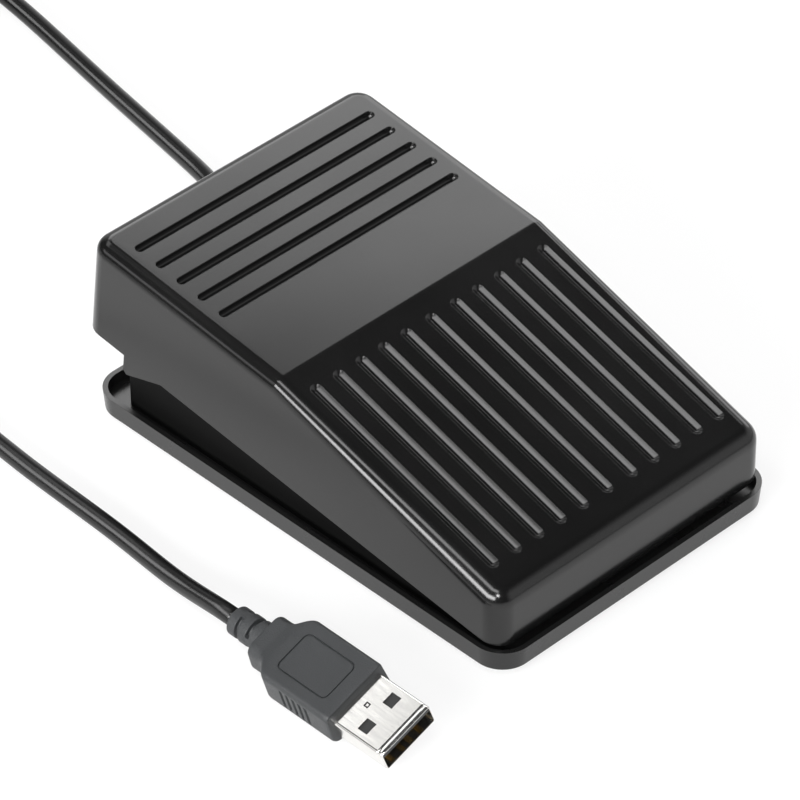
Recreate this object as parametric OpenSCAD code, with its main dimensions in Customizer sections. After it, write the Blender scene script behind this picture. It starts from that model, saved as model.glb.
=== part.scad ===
// Foot pedal switch on a USB lead: a wedge cover hinged over a shallow tray.
// X runs across the pedal, Y from its low front end to its high rear end, Z up from the floor.

/* [Base tray] */
// Length of the tray over its rim
base_len = 105; // [95:1:125]
// Width of the tray over its rim
base_w = 68.8; // [62:0.2:80]
// Corner radius of the rim
base_corner_r = 6; // [4:0.5:9]
// Height of the rim above the tray's underside
base_h = 4; // [3.4:0.1:6]
// Thickness of the rim wall
base_wall = 1; // [0.8:0.1:1.6]
// Thickness of the tray's floor
base_floor = 1.6; // [1.2:0.1:2.2]
// How far the underside is drawn in by the mould's draft
base_draft = 0.35; // [0.1:0.05:0.8]

/* [Inner box] */
// Thickness of the box wall that stands inside the cover
box_wall = 1.4; // [1:0.1:2]
// Corner radius of the box
box_corner_r = 3; // [2:0.5:5]
// Height of the box above the tray's floor at its front end
box_front_h = 8.4; // [7.5:0.1:10]
// Height of the box above the tray's floor at its rear end
box_rear_h = 12.8; // [11:0.1:15]
// Trough between the box and the rim at the rear
rear_trough = 4.5; // [3:0.1:7]

/* [Feet] */
// Diameter of a rubber foot
foot_d = 9; // [6:0.5:12]
// How far a foot stands out below the tray
foot_proud = 1.2; // [0.8:0.1:2]
// Depth of the seat that holds a foot
foot_seat = 0.7; // [0.4:0.1:0.9]
// Distance from the rim to the middle of a foot
foot_inset = 10; // [8:0.5:16]

/* [Pedal cover] */
// Wall thickness of the moulded cover
pedal_wall = 1.7; // [1.3:0.1:2.4]
// Setback of the cover's sides from the rim's outer face
side_setback = 0.9; // [0.7:0.1:2]
// Gap from the rim's outer face to the cover's front edge
pedal_front_gap = 2.1; // [1.6:0.1:4]
// How far the cover's rear reaches past the rim
rear_overhang = 1.74; // [1:0.02:3]
// Gap from the rim's top to the cover's front edge at rest
front_edge_gap = 0.5; // [0.4:0.1:1.2]
// Height of the flat top above the cover's lower edge
plateau_h = 21.1; // [18:0.1:25]
// Length of the flat top, from the crease to the rear
plateau_len = 47.6; // [40:0.2:56]
// Fall of the front slope from the flat top, degrees
slope_deg = 10.3; // [7:0.1:12]
// Radius of the cover's upright corners
pedal_corner_r = 4; // [3.8:0.1:6]
// Radius of the rounded top edges
edge_r = 2.6; // [1.5:0.1:3.4]
// Radius of the rolled front edge
front_roll_r = 3.6; // [2:0.1:3.7]
// Backward lean of the front wall against the cover's sides, degrees
front_lean = 6.6; // [4:0.1:8]
// Tilt of the cover at rest, degrees
rest_tilt = 6.6; // [5.5:0.1:8]
// Length of the guide tab under each side wall
tab_len = 9.6; // [6:0.2:13]
// Drop of the guide tab below the side wall's edge
tab_drop = 3.8; // [1.5:0.1:4.2]
// Distance from the cover's rear to the guide tab
tab_setback = 10.8; // [8:0.2:14]
// Rise of the lower edge behind the guide tab
notch_rise = 0.3; // [0.2:0.1:1.2]

/* [Grip grooves] */
// Width of a cross groove
groove_w = 2; // [1.4:0.1:2.6]
// Width of a long groove
long_groove_w = 2.4; // [1.4:0.1:2.8]
// Depth of a groove
groove_depth = 1.2; // [0.4:0.1:1.3]
// Length of a cross groove, also the width of the slope's groove field
groove_span = 58.6; // [50:0.2:60]
// Number of cross grooves on the flat top
flat_grooves = 5; // [3:1:6]
// Spacing of the cross grooves
flat_pitch = 5.43; // [4.5:0.01:6.2]
// Distance from the crease to the first cross groove
flat_first = 18; // [12:0.5:19]
// Number of long grooves on each side of the middle one
side_grooves = 5; // [3:1:6]
// Spacing of the two long grooves beside the middle one
mid_pitch = 6.1; // [5:0.1:7]
// Distance from the crease to the long grooves' upper ends
slope_top_gap = 4.3; // [3:0.1:8]
// Distance from the cover's front to the long grooves' lower ends
slope_front_gap = 7.2; // [6:0.1:12]

/* [Hinge] */
// Diameter of the steel hinge pin
pin_d = 2.5; // [2:0.1:3]
// Distance of the hinge behind the cover's front edge
hinge_back = 9.1; // [8.2:0.1:12]
// Height of the hinge above the cover's lower edge
hinge_up = 1.7; // [1.4:0.1:3]
// Radius of the hinge bosses and ears
boss_r = 2.8; // [2.4:0.1:3.4]
// Length of a boss inside the box wall
boss_len = 5; // [3:0.5:8]
// Thickness of an ear on the cover
ear_t = 3; // [2:0.2:5]

/* [Return springs] */
// Mean diameter of a return spring
spring_d = 8; // [6:0.2:9]
// Diameter of the spring wire
spring_wire = 0.9; // [0.6:0.1:1.2]
// Turns of a return spring
spring_turns = 8; // [6:1:10]
// Length of a return spring at rest
spring_len = 19.5; // [16:0.5:22]
// Distance from the box's rear wall to a spring's middle
spring_setback = 17; // [12:0.5:20]

/* [Switch] */
// Length of the switch case
case_len = 20; // [18:0.5:22]
// Width of the switch case
case_w = 6.4; // [6:0.1:8]
// Height of the switch case
case_h = 9.6; // [8.5:0.1:11]
// Distance from the hinge to the point that presses the lever
contact_reach = 38; // [34:0.5:42]
// Distance from the lever's pivot to that point
lever_reach = 16; // [14:0.5:17]
// Tilt of the lever at rest, degrees
lever_tilt = 12; // [11:0.5:14]
// Thickness of the lever
lever_t = 0.4; // [0.3:0.05:0.6]
// Distance from the lever's pivot to the plunger
plunger_reach = 4.5; // [4:0.1:6]
// Diameter of the lever's pivot pin
pivot_d = 1; // [0.8:0.1:1.2]

/* [Circuit board] */
// Width of the board
board_w = 36; // [32:1:40]
// Length of the board
board_len = 40; // [36:1:44]
// Thickness of the board
board_t = 1.6; // [1:0.1:2]
// Height of the pillars under the board
pillar_h = 3; // [2:0.1:4]
// Diameter of the board's screws
screw_d = 2; // [1.6:0.1:2.6]
// Distance from the board's edge to a screw
screw_inset = 3.2; // [2.6:0.1:5]

/* [Cord] */
// Diameter of the cord
cord_d = 3.6; // [3:0.1:4.5]
// Distance of the cord's outlet from the box's right wall
outlet_inset = 9.5; // [8:0.5:14]
// Height of the cord's outlet above the tray's floor
outlet_h = 4; // [3.8:0.1:5]
// Length of the strain relief behind the box
gland_len = 13; // [9:0.5:18]
// Turns of the coil that holds the spare length
coil_turns = 11.5; // [9.5:1:13.5]
// Outer radius of the coil along the cord's middle
coil_r = 26; // [24:0.5:32]
// Gap between neighbouring turns of the coil
coil_gap = 0.5; // [0.45:0.05:1]

/* [Plug] */
// Width of the plug's metal shell
shell_w = 12; // [11.9:0.1:12.1]
// Height of the plug's metal shell
shell_h = 4.5; // [4.4:0.1:4.6]
// Length of the plug's shell outside its grip
shell_len = 11.8; // [11:0.1:13]
// Thickness of the shell's sheet
shell_t = 0.3; // [0.2:0.05:0.4]
// Width of the moulded grip
grip_w = 14.6; // [14.2:0.1:16]
// Thickness of the moulded grip
grip_h = 7.8; // [7:0.1:8.5]
// Length of the grip's full-width part
grip_len = 17; // [13:0.5:20]
// Length of the grip's narrower neck, with its shoulder
neck_len = 5.5; // [4.5:0.5:8]
// Length of the shoulder between the grip and its neck
shoulder_len = 2.4; // [1.5:0.1:3]
// Length of the ribbed strain relief on the plug
relief_len = 7.4; // [6:0.2:12]
// Roll of the plug as it lies on the floor, degrees
plug_roll = 20; // [0:1:30]

/* [Clearances] */
// Side gap between the cover and the box
box_gap = 0.9; // [0.6:0.05:1.2]
// Gap between the cover's front wall and the box
box_front_gap = 1.6; // [1.2:0.1:2]
// Radial clearance of a turning pin
pin_gap = 0.05; // [0.02:0.01:0.08]
// Gap that keeps touching and sliding pieces apart
slip = 0.3; // [0.2:0.05:0.4]
// Gap around pieces that are fixed in their seats
seat_gap = 0.05; // [0.02:0.01:0.1]

/* [Hidden] */

// Smoothness of true rounds, and of rounds inside a blended shape
fine = 48;
blend = 28;
// Thickness of a slice that only carries an outline, and the reach of a cut past a face
slice = 0.02;
over = 1;

// Heights of the tray
base_z = foot_proud;
floor_z = base_z + base_floor;
rim_z = base_z + base_h;

// The cover's size and place, from the tray and its clearances
pedal_w = base_w - 2 * side_setback;
pedal_len = (base_len - pedal_front_gap + rear_overhang + notch_rise * sin(rest_tilt)) / cos(rest_tilt);
crease_y = pedal_len - plateau_len;
base_y = -rear_overhang / 2;
pedal_front_y = base_y - base_len / 2 + pedal_front_gap;
pedal_front_z = rim_z + front_edge_gap;

// The box that the cover slides down over
box_w = pedal_w - 2 * (pedal_wall + box_gap);
box_in = box_w / 2 - box_wall;
box_front_y = pedal_front_y + pedal_wall + box_front_gap;
box_rear_y = base_y + base_len / 2 - base_wall - rear_trough;
box_len = box_rear_y - box_front_y;
box_mid_y = (box_rear_y + box_front_y) / 2;
box_rear_in = box_rear_y - box_wall;

// A point of the tilted cover in the part's own frame
function on_pedal(y, z) = [0,
    pedal_front_y + y * cos(rest_tilt) - z * sin(rest_tilt),
    pedal_front_z + y * sin(rest_tilt) + z * cos(rest_tilt)];
hinge = on_pedal(hinge_back, hinge_up);
pin_r = pin_d / 2;
pin_len = box_w - 2 * seat_gap;
ear_x = box_in - boss_len - slip - ear_t;

// The board and the switch that stands on it
board_z = floor_z + pillar_h;
board_top = board_z + board_t;
contact_y = hinge.y + contact_reach;
pivot_y = contact_y + lever_reach;
case_rear_y = pivot_y + 1.6;
case_y = case_rear_y - case_len / 2;
case_top = board_top + case_h;
pivot_z = case_top + pivot_d / 2 + 0.5;
board_y = case_y - 1;
lever_w = case_w - 2.4;
lug_t = 0.8;
plunger_y = pivot_y - plunger_reach;
plunger_l = 1.6;
plunger_w = lever_w - 1;
plunger_top = pivot_z + (plunger_reach - plunger_l) * tan(lever_tilt) - lever_t / 2 - slip / 2;
plunger_len = 4.2;
contact_z = pivot_z + lever_reach * tan(lever_tilt) + lever_t / 2 / cos(lever_tilt) + slip;
pillar_x = board_w / 2 - screw_inset;
pillar_ys = [board_y - board_len / 2 + screw_inset, board_y + board_len / 2 - screw_inset];
pillar_r = screw_d / 2 + 1.4;
screw_head_h = 1.3;

// The return springs, beside the board
spring_out = (spring_d + spring_wire) / 2;
spring_x = box_in - 1 - spring_out;
spring_y = box_rear_in - spring_setback;
spring_low = floor_z + spring_wire / 2 + slip / 3;
spring_top = floor_z + spring_len;

// The hooks that stop the cover on its way up, and their windows in the box
hook_x = 8;
hook_w = 5;
hook_t = 2;
hook_h = 1.8;
hook_gap = 1.3;
hook_top = floor_z + 9.4;
hook_reach = hook_gap + box_wall - slip / 2;

// The cord's outlet
outlet_x = box_in - outlet_inset;
cord_r = cord_d / 2;
outlet_z = floor_z + outlet_h;
gland_bore = cord_r + seat_gap;
gland_neck = gland_bore + 0.8;
gland_flange = gland_bore + 1.6;
gland_body = gland_bore + 1.1;
gland_end = box_rear_y + gland_len;
clamp_w = 3.5;
clamp_y = box_rear_in - 5;
clamp_post_r = 2.2;
clamp_post_x = cord_r + clamp_post_r + slip;
clamp_t = 1.6;
clamp_z = outlet_z + cord_r + seat_gap;
tail_front = clamp_y - clamp_w / 2 - 1.2;

// The small parts on the board
header_size = [11, 6, 5.5];
header_y = board_y + board_len / 2 - header_size.y / 2 - 0.5;
header_x = 6;
wire_d = 0.65;
wire_pitch = 2.5;

// The cord's route from the strain relief to the coil, and from the coil to the plug
coil_pitch = cord_d + coil_gap;
tie_t = 0.9;
coil_low = tie_t + slip + cord_r;
coil_mid = [14, 186];
coil_layers = 4;
layer_turns = coil_turns / coil_layers;
coil_in = coil_r - layer_turns * coil_pitch;
coil_start = [coil_mid.x + coil_r, coil_mid.y - cord_d, coil_low];
coil_end = [coil_mid.x - coil_r, coil_mid.y - cord_d, coil_low + (coil_layers - 1) * coil_pitch];
grip_r = 2;
plug_rest_z = (grip_w / 2 - grip_r) * sin(plug_roll) + (grip_h / 2 - grip_r) * cos(plug_roll) + grip_r;
plug_at = [-59.2, -43.9, plug_rest_z];
plug_back = plug_at.y + grip_len + neck_len + relief_len;
rear_route = [[outlet_x, gland_end, outlet_z], [outlet_x, gland_end + cord_d, outlet_z], [22.9, 77, 3],
    [26.6, 88, 2], [32.1, 120, 2], [37.1, 148, 2], [39.4, 166, 2.2], [coil_start.x, coil_start.y - 7, coil_low],
    coil_start];
front_route = [coil_end, [coil_end.x, coil_end.y - cord_d, coil_end.z], [-15, 158, 8], [-23, 140, 2.6],
    [-35, 116, 2], [-46, 90, 2], [-52.6, 68, 2], [-54.8, 48, 2], [-55.7, 22, 2], [-57.4, 4, 2.8],
    [plug_at.x, plug_back + cord_d, plug_at.z], [plug_at.x, plug_back, plug_at.z]];

// Rounded rectangle made of true arcs
module rounded_rect(w, l, r) {
    square([w - 2 * r, l], center = true);
    square([w, l - 2 * r], center = true);
    for (sx = [-1, 1], sy = [-1, 1])
        translate([sx * (w / 2 - r), sy * (l / 2 - r)])
            circle(r, $fn = fine);
}

// A side profile in Y and Z, carried across X
module across(w) {
    rotate([90, 0, 90])
        linear_extrude(w, center = true)
            children();
}

// A straight rod along X or along Y
module rod_x(r, l) {
    rotate([0, 90, 0])
        cylinder(r = r, h = l, center = true, $fn = fine);
}
module rod_y(r, l) {
    rotate([-90, 0, 0])
        cylinder(r = r, h = l, $fn = fine);
}

// Puts children in the cover's own tilted frame, from its front lower edge
module on_cover() {
    translate([0, pedal_front_y, pedal_front_z])
        rotate([rest_tilt, 0, 0])
            children();
}

// Unit vector, and the two directions square to a run
function unit(v) = v / norm(v);
function side_of(t) = unit(cross(t, [0, 0, 1]));
function upper_of(t) = cross(side_of(t), t);

// Smooth curve through a route's points, a number of steps to each run
function knot(p, i) = i < 0 ? 2 * p[0] - p[1] : i >= len(p) ? 2 * p[len(p) - 1] - p[len(p) - 2] : p[i];
function blend_at(a, b, c, d, t) = 0.5 * (2 * b + (c - a) * t + (2 * a - 5 * b + 4 * c - d) * t * t
    + (3 * b - a - 3 * c + d) * t * t * t);
function run_steps(a, b, step) = max(1, round(norm(b - a) / step));
function smooth_route(p, step) = concat(
    [for (i = [0:len(p) - 2])
        let (n = run_steps(p[i], p[i + 1], step))
            for (k = [0:n - 1])
                blend_at(knot(p, i - 1), p[i], p[i + 1], knot(p, i + 2), k / n)],
    [p[len(p) - 1]]);

// One closed tube swept along points, with flat ends square to its end runs
function run_dir(p, i) = unit(p[min(i + 1, len(p) - 1)] - p[max(i - 1, 0)]);
module tube_along(p, r, sides) {
    n = len(p);
    rings = [for (i = [0:n - 1], k = [0:sides - 1])
        let (t = run_dir(p, i), a = 360 * k / sides)
            p[i] + r * (cos(a) * side_of(t) + sin(a) * upper_of(t))];
    ends = [p[0], p[n - 1]];
    walls = [for (i = [0:n - 2], k = [0:sides - 1])
        let (a = i * sides + k, b = i * sides + (k + 1) % sides)
            each [[a, b, b + sides], [a, b + sides, a + sides]]];
    front = [for (k = [0:sides - 1]) [n * sides, (k + 1) % sides, k]];
    back = [for (k = [0:sides - 1])
        [n * sides + 1, (n - 1) * sides + k, (n - 1) * sides + (k + 1) % sides]];
    polyhedron(concat(rings, ends), concat(walls, front, back), convexity = 10);
}

// Least gap of a wound tube to itself, over points that are not close along it
function least_gap(p, d, skip) = min([for (i = [0:len(p) - 1 - skip])
    min([for (j = [i + skip:len(p) - 1]) norm(p[i] - p[j])])]) - d;

// Spring wire: the end turns lie close, the middle ones climb evenly
spring_rings = 8;
function spring_rise(t) = let (rest = spring_wire + 0.5, s = spring_turns - 2,
        mid = spring_len - 2 * rest - spring_wire - slip)
    t < 1 ? rest * t : t > spring_turns - 1 ? rest + mid + rest * (t - spring_turns + 1) : rest + mid * (t - 1) / s;
function spring_points(x) = [for (i = [0:spring_turns * spring_rings])
    let (t = i / spring_rings)
        [x + spring_d / 2 * cos(360 * t), spring_y + spring_d / 2 * sin(360 * t), spring_low + spring_rise(t)]];

// Coil: spirals in and out layer by layer, and climbs in the half turn where it reverses
coil_rings = 24;
function coil_phase(t) = let (k = min(floor(t / layer_turns), coil_layers - 1), f = t - k * layer_turns)
    k % 2 == 0 ? f : layer_turns - f;
function coil_climb(t) = let (k = min(max(round(t / layer_turns), 1), coil_layers - 1), f = t - k * layer_turns)
    f < -0.25 ? k - 1 : f > 0.25 ? k : k - 0.5 + 2 * f;
function coil_turn(t) = let (r = coil_r - coil_pitch * coil_phase(t))
    [coil_mid.x + r * cos(360 * t), coil_mid.y + r * sin(360 * t), coil_low + coil_pitch * coil_climb(t)];
coil_points = concat([coil_start], [for (i = [0:coil_turns * coil_rings]) coil_turn(i / coil_rings)], [coil_end]);

echo(spring_gap = least_gap(spring_points(0), spring_wire, spring_rings - 1));
echo(coil_gap_to_itself = least_gap(coil_points, cord_d, coil_rings - 4));

// Tray with its rim, the inner box, and everything moulded on its floor
module tray_shell() {
    difference() {
        hull() {
            translate([0, base_y, base_z])
                linear_extrude(slice)
                    rounded_rect(base_w - 2 * base_draft, base_len - 2 * base_draft, base_corner_r - base_draft,
                        $fn = blend);
            translate([0, base_y, rim_z - slice])
                linear_extrude(slice)
                    rounded_rect(base_w, base_len, base_corner_r, $fn = blend);
        }
        translate([0, base_y, floor_z])
            linear_extrude(base_h)
                rounded_rect(base_w - 2 * base_wall, base_len - 2 * base_wall, base_corner_r - base_wall);
    }
}

module box_ring() {
    intersection() {
        translate([0, box_mid_y, floor_z - slice])
            linear_extrude(box_rear_h + over)
                difference() {
                    rounded_rect(box_w, box_len, box_corner_r);
                    rounded_rect(box_w - 2 * box_wall, box_len - 2 * box_wall, box_corner_r - box_wall);
                }
        across(box_w + 2 * over)
            polygon([[box_front_y - over, floor_z - over], [box_rear_y + over, floor_z - over],
                [box_rear_y + over, floor_z + box_rear_h], [box_front_y - over, floor_z + box_front_h]]);
    }
}

module floor_post(x, y, r, top) {
    translate([x, y, floor_z - slice])
        cylinder(r = r, h = top - floor_z + slice, $fn = fine);
}

module tray_bosses() {
    for (s = [-1, 1]) {
        translate([s * (box_in - boss_len / 2 + slice), hinge.y, hinge.z])
            rod_x(boss_r, boss_len + 2 * slice);
        translate([s * (box_in - boss_len / 2 + slice), hinge.y, (floor_z + hinge.z) / 2])
            cube([boss_len + 2 * slice, boss_r * 1.6, hinge.z - floor_z + 2 * slice], center = true);
        for (y = pillar_ys)
            floor_post(s * pillar_x, y, pillar_r, board_z);
        floor_post(s * spring_x, spring_y, spring_d / 2 - spring_wire / 2 - slip, floor_z + spring_len / 4);
        floor_post(outlet_x + s * clamp_post_x, clamp_y, clamp_post_r, clamp_z);
    }
    // Saddle under the cord, between the clamp's posts
    translate([outlet_x, clamp_y, (floor_z + outlet_z - cord_r - seat_gap) / 2])
        cube([cord_d, clamp_w, outlet_z - cord_r - seat_gap - floor_z + 2 * slice], center = true);
}

module tray_cuts() {
    translate([0, hinge.y, hinge.z])
        rod_x(pin_r + seat_gap / 2, box_w + 2 * over);
    for (s = [-1, 1]) {
        for (y = pillar_ys)
            translate([s * pillar_x, y, floor_z])
                cylinder(d = screw_d, h = pillar_h + over, $fn = fine);
        translate([outlet_x + s * clamp_post_x, clamp_y, floor_z])
            cylinder(d = screw_d, h = clamp_z - floor_z + over, $fn = fine);
        for (e = [-1, 1])
            translate([s * (base_w / 2 - foot_inset), base_y + e * (base_len / 2 - foot_inset), base_z - over])
                cylinder(d = foot_d + 2 * seat_gap, h = foot_seat + over, $fn = fine);
        // Window that the cover's hook travels in
        translate([s * hook_x, box_rear_y - box_wall / 2, (floor_z + hook_top + slip) / 2])
            cube([hook_w + 4 * slip, box_wall + over, hook_top + slip - floor_z], center = true);
    }
    // Slot for the strain relief's neck, open at the top of the box, and its way through the rim
    translate([outlet_x, box_rear_y - box_wall / 2, outlet_z])
        rotate([90, 0, 0])
            cylinder(r = gland_neck + seat_gap, h = box_wall + over, center = true, $fn = fine);
    translate([outlet_x, box_rear_y - box_wall / 2, outlet_z + box_rear_h / 2])
        cube([2 * (gland_neck + seat_gap), box_wall + over, box_rear_h], center = true);
    translate([outlet_x, base_y + base_len / 2 - base_wall / 2, outlet_z - gland_body - slip + base_h / 2])
        cube([2 * (gland_body + slip), base_wall + over, base_h], center = true);
}

module base_tray() {
    color([0.16, 0.16, 0.17])
        difference() {
            union() {
                tray_shell();
                box_ring();
                tray_bosses();
            }
            tray_cuts();
        }
}

module rubber_feet() {
    color([0.08, 0.08, 0.08])
        for (s = [-1, 1], e = [-1, 1])
            translate([s * (base_w / 2 - foot_inset), base_y + e * (base_len / 2 - foot_inset), 0]) {
                cylinder(d1 = foot_d - 1, d2 = foot_d, h = 0.5, $fn = fine);
                translate([0, 0, 0.5])
                    cylinder(d = foot_d, h = foot_proud + foot_seat - 0.5, $fn = fine);
            }
}

module hinge_pin() {
    color([0.75, 0.76, 0.78])
        translate([0, hinge.y, hinge.z])
            rod_x(pin_r, pin_len);
}

module spring_left() {
    color([0.7, 0.72, 0.74])
        tube_along(spring_points(-spring_x), spring_wire / 2, 6);
}

module spring_right() {
    color([0.7, 0.72, 0.74])
        tube_along(spring_points(spring_x), spring_wire / 2, 6);
}

// Cover: one rounded block, its flat top and its slope meeting in a crease
function roof_z(y) = plateau_h - (crease_y - y) * tan(slope_deg);
crease_mid_y = crease_y + edge_r * tan(slope_deg / 2);
module corner_ring(y, z, fall, r) {
    translate([0, y, z])
        rotate([fall, 0, 0])
            rotate_extrude($fn = blend)
                intersection() {
                    translate([pedal_corner_r - r, 0])
                        circle(r, $fn = blend);
                    translate([0, -r])
                        square([pedal_corner_r, 2 * r]);
                }
}

// Middle of the rolled front edge, which touches both the leaning front wall and the slope
roll_drop = front_roll_r / cos(slope_deg);
roll_reach = (pedal_corner_r - front_roll_r) * cos(front_lean + slope_deg) + front_roll_r;
roll_y = ((roof_z(0) - roll_drop) * sin(front_lean) + roll_reach)
    / (cos(front_lean) - sin(front_lean) * tan(slope_deg));
roll_z = roof_z(roll_y) - roll_drop;
foot_h = 0.4;

module cover_block() {
    rear_y = pedal_len - pedal_corner_r;
    corner_x = pedal_w / 2 - pedal_corner_r;
    hull() {
        for (s = [-1, 1]) {
            translate([s * corner_x, 0, 0]) {
                corner_ring(rear_y, plateau_h - edge_r, 0, edge_r);
                corner_ring(roll_y, roll_z, slope_deg, front_roll_r);
                for (y = [pedal_corner_r, rear_y])
                    translate([0, y, 0])
                        cylinder(r = pedal_corner_r, h = foot_h, $fn = blend);
            }
            for (fall = [0, slope_deg])
                translate([s * (pedal_w / 2 - edge_r), crease_mid_y, plateau_h - edge_r])
                    rotate([90 + fall, 0, 0])
                        cylinder(r = edge_r, h = slice, center = true, $fn = blend);
        }
    }
}

// Space inside the cover, grown into its walls where a rib has to reach them
module cover_space(grow) {
    wall = pedal_wall - grow;
    roof_in = roof_z(0) - wall / cos(slope_deg);
    front_in = wall / cos(front_lean);
    intersection() {
        translate([0, pedal_len / 2, -plateau_h])
            linear_extrude(2 * plateau_h + over)
                rounded_rect(pedal_w - 2 * wall, pedal_len - 2 * wall, pedal_corner_r - wall);
        across(pedal_w)
            polygon([[front_in - plateau_h * tan(front_lean), -plateau_h], [pedal_len, -plateau_h],
                [pedal_len, plateau_h - wall], [crease_y + wall * tan(slope_deg / 2), plateau_h - wall],
                [front_in + roof_in * tan(front_lean), roof_in]]);
    }
}

// A round-ended groove along X, cut down from the surface, that leaves half a millimetre of wall
groove_cut = min(groove_depth, pedal_wall - 0.5);
module groove_x(l, w) {
    translate([0, 0, -groove_cut])
        linear_extrude(groove_cut + over) {
            square([l - w, w], center = true);
            for (s = [-1, 1])
                translate([s * (l - w) / 2, 0])
                    circle(w / 2, $fn = fine);
        }
}

module grip_grooves() {
    for (i = [0:flat_grooves - 1])
        translate([0, crease_y + flat_first + i * flat_pitch, plateau_h])
            groove_x(groove_span, groove_w);
    slope_len = crease_y / cos(slope_deg);
    long_len = slope_len - slope_top_gap - slope_front_gap;
    side_pitch = (groove_span / 2 - long_groove_w / 2 - mid_pitch) / (side_grooves - 1);
    xs = [for (i = [0:side_grooves - 1]) mid_pitch + i * side_pitch];
    translate([0, crease_y, plateau_h])
        rotate([slope_deg, 0, 0])
            translate([0, -slope_top_gap - long_len / 2, 0])
                for (x = concat([0], xs, -xs))
                    translate([x, 0, 0])
                        rotate([0, 0, 90])
                            groove_x(long_len, long_groove_w);
}

module cover_shell() {
    tab_rear = pedal_len - tab_setback;
    difference() {
        cover_block();
        cover_space(0);
        grip_grooves();
        // The lower edge steps up behind the guide tabs
        translate([-pedal_w, tab_rear, -over])
            cube([2 * pedal_w, pedal_len, over + notch_rise]);
    }
    for (s = [-1, 1])
        translate([s * (pedal_w / 2 - pedal_wall / 2), 0, 0])
            across(pedal_wall)
                polygon([[tab_rear - tab_len, 0], [tab_rear - 1, -tab_drop], [tab_rear, -tab_drop + 0.6],
                    [tab_rear, edge_r], [tab_rear - tab_len, edge_r]]);
}

// Ears on the hinge pin, and the posts that work the switch, the springs and the stop
module cover_ribs() {
    for (s = [-1, 1]) {
        translate([s * (ear_x + ear_t / 2), hinge.y, hinge.z]) {
            rod_x(boss_r, ear_t);
            translate([0, 0, plateau_h / 2])
                cube([ear_t, boss_r * 1.6, plateau_h], center = true);
        }
        translate([s * spring_x, spring_y, spring_top + slip]) {
            cylinder(r = spring_out + 0.6, h = plateau_h, $fn = fine);
            translate([0, 0, -spring_wire * 2])
                cylinder(r = spring_d / 2 - spring_wire / 2 - 4 * slip, h = spring_wire * 2 + slice, $fn = fine);
        }
        translate([s * hook_x - hook_w / 2, box_rear_in - hook_gap - hook_t, hook_top - hook_h]) {
            cube([hook_w, hook_t, plateau_h + box_rear_h]);
            cube([hook_w, hook_t + hook_reach, hook_h]);
        }
    }
    translate([0, contact_y, contact_z + 2]) {
        sphere(2, $fn = fine);
        cylinder(r = 2, h = plateau_h, $fn = fine);
    }
}

module pedal_cover() {
    color([0.2, 0.2, 0.21])
        difference() {
            union() {
                on_cover()
                    cover_shell();
                intersection() {
                    cover_ribs();
                    on_cover()
                        cover_space(pedal_wall / 2);
                }
            }
            translate([0, hinge.y, hinge.z])
                rod_x(pin_r + pin_gap, 2 * box_in);
        }
}

// Board on its pillars, with slots for the switch's terminals
terminal_ys = [case_y - case_len / 2 + 2.5, case_y, case_y + case_len / 2 - 2.5];
terminal_size = [1.2, 0.5, pillar_h + board_t - 0.6];
module circuit_board() {
    color([0.1, 0.36, 0.18])
        difference() {
            translate([0, board_y, board_z])
                linear_extrude(board_t)
                    rounded_rect(board_w, board_len, 1.5);
            for (s = [-1, 1], y = pillar_ys)
                translate([s * pillar_x, y, board_z - over])
                    cylinder(d = screw_d + 2 * slip, h = board_t + 2 * over, $fn = fine);
            for (y = terminal_ys)
                translate([0, y, board_z + board_t / 2])
                    cube([terminal_size.x + 2 * seat_gap, terminal_size.y + 2 * seat_gap, board_t + over],
                        center = true);
        }
}

// Pan-head screw with a cross recess, standing on z = 0
module pan_screw(l) {
    difference() {
        rotate_extrude($fn = fine)
            polygon([[0, -l], [screw_d / 2 - seat_gap, -l], [screw_d / 2 - seat_gap, 0], [screw_d * 0.95, 0],
                [screw_d * 0.95, screw_head_h * 0.5], [screw_d * 0.55, screw_head_h], [0, screw_head_h]]);
        for (a = [0, 90])
            rotate([0, 0, a])
                translate([0, 0, screw_head_h])
                    cube([screw_d * 0.9, 0.4, 1], center = true);
    }
}

module board_screws() {
    color([0.72, 0.73, 0.75])
        for (s = [-1, 1], y = pillar_ys)
            translate([s * pillar_x, y, board_top])
                pan_screw(board_t + pillar_h - 0.4);
}

module switch_case() {
    color([0.12, 0.12, 0.13])
        difference() {
            union() {
                translate([-case_w / 2, case_y - case_len / 2, board_top])
                    cube([case_w, case_len, case_h]);
                for (s = [-1, 1])
                    translate([s * (lever_w / 2 + 0.2 + lug_t / 2), pivot_y, pivot_z]) {
                        rod_x(pivot_d / 2 + 0.5, lug_t);
                        translate([0, 0, (case_top - pivot_z) / 2])
                            cube([lug_t, pivot_d + 0.6, pivot_z - case_top + slice], center = true);
                    }
            }
            translate([0, pivot_y, pivot_z])
                rod_x(pivot_d / 2 + pin_gap, case_w + over);
            translate([0, plunger_y, case_top - plunger_len / 2 + over / 2])
                cube([plunger_w + 2 * slip, plunger_l + 2 * slip, plunger_len + over], center = true);
            // Mounting holes and the seam of the two halves
            for (e = [-1, 1])
                translate([0, case_y + e * (case_len / 2 - 5), board_top + 2.6])
                    rod_x(1.1, case_w + over);
            for (s = [-1, 1])
                translate([s * case_w / 2, case_y, board_top + case_h * 0.62])
                    cube([0.4, case_len + over, 0.3], center = true);
        }
}

module switch_terminals() {
    color([0.83, 0.7, 0.35])
        for (y = terminal_ys)
            translate([0, y, board_top - terminal_size.z / 2])
                cube(terminal_size, center = true);
}

module switch_lever() {
    color([0.8, 0.81, 0.83])
        translate([0, pivot_y, pivot_z]) {
            rod_x(pivot_d / 2, lever_w + 2 * (0.2 + lug_t));
            rotate([-lever_tilt, 0, 0])
                translate([-lever_w / 2, -lever_reach - 2, -lever_t / 2])
                    cube([lever_w, lever_reach + 2, lever_t]);
        }
}

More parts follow.
